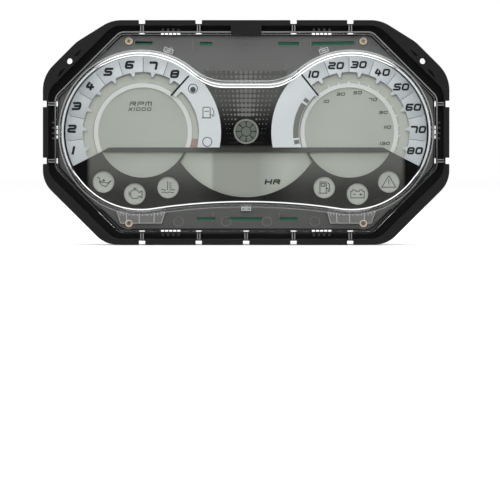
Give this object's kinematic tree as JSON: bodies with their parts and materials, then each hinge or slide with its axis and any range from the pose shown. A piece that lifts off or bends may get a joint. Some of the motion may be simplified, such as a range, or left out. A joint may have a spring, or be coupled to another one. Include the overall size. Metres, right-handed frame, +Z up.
{
  "type": "instrument cluster",
  "caption": "Flat octagonal motorcycle instrument cluster with twin round liquid-crystal dials under a clear window, a notched frame with ears, and a sealed header on the back.",
  "frame": {"origin": "centre of the four rear fixing holes, on the flat back face", "axes": "+X to the rider's right, +Z up the dial face, +Y out of the back face; the dial faces -Y"},
  "size_m": [0.21, 0.041, 0.116],
  "materials": {
    "housing": "gloss moulded",
    "frame": "fine matte",
    "lens": "clear polished",
    "seal": "matte",
    "tray": "fine matte",
    "mask": "gloss printed",
    "clear": "clear",
    "scale": "silver print",
    "inner_ring": "pale print",
    "film": "polarising film",
    "glass": "display glass",
    "tin": "tinned",
    "diffuser": "frosted",
    "white": "white moulded",
    "board": "green solder mask",
    "brass": "bright",
    "chip": "moulded epoxy",
    "can": "drawn can",
    "shell": "satin",
    "membrane": "woven membrane"
  },
  "bodies": {
    "root": {"rear_housing": "housing", "front_frame": "frame", "lens": "lens", "lens_seal": "seal", "inner_tray": "tray", "dial_mask": "mask", "mask_clips": "clear", "scale_ring_left": "scale", "scale_ring_right": "scale", "inner_ring_left": "inner_ring", "inner_ring_right": "inner_ring", "edge_light_left": "clear", "edge_light_right": "clear", "front_polariser": "film", "lcd_front_glass": "glass", "lcd_rear_glass": "glass", "rear_polariser": "film", "lcd_leads": "tin", "diffuser_sheet": "diffuser", "light_guide": "clear", "reflector_box": "white", "backlight_leds": "white", "lamp_leds": "white", "circuit_board": "board", "board_screws": "brass", "microcontroller": "chip", "memory_chip": "chip", "voltage_regulator": "chip", "capacitors": "can", "crystal": "tin", "surge_diode": "chip", "connector_shell": "shell", "connector_seal": "seal", "connector_pins": "tin", "vent_patch": "membrane"}
  },
  "joints": []
}
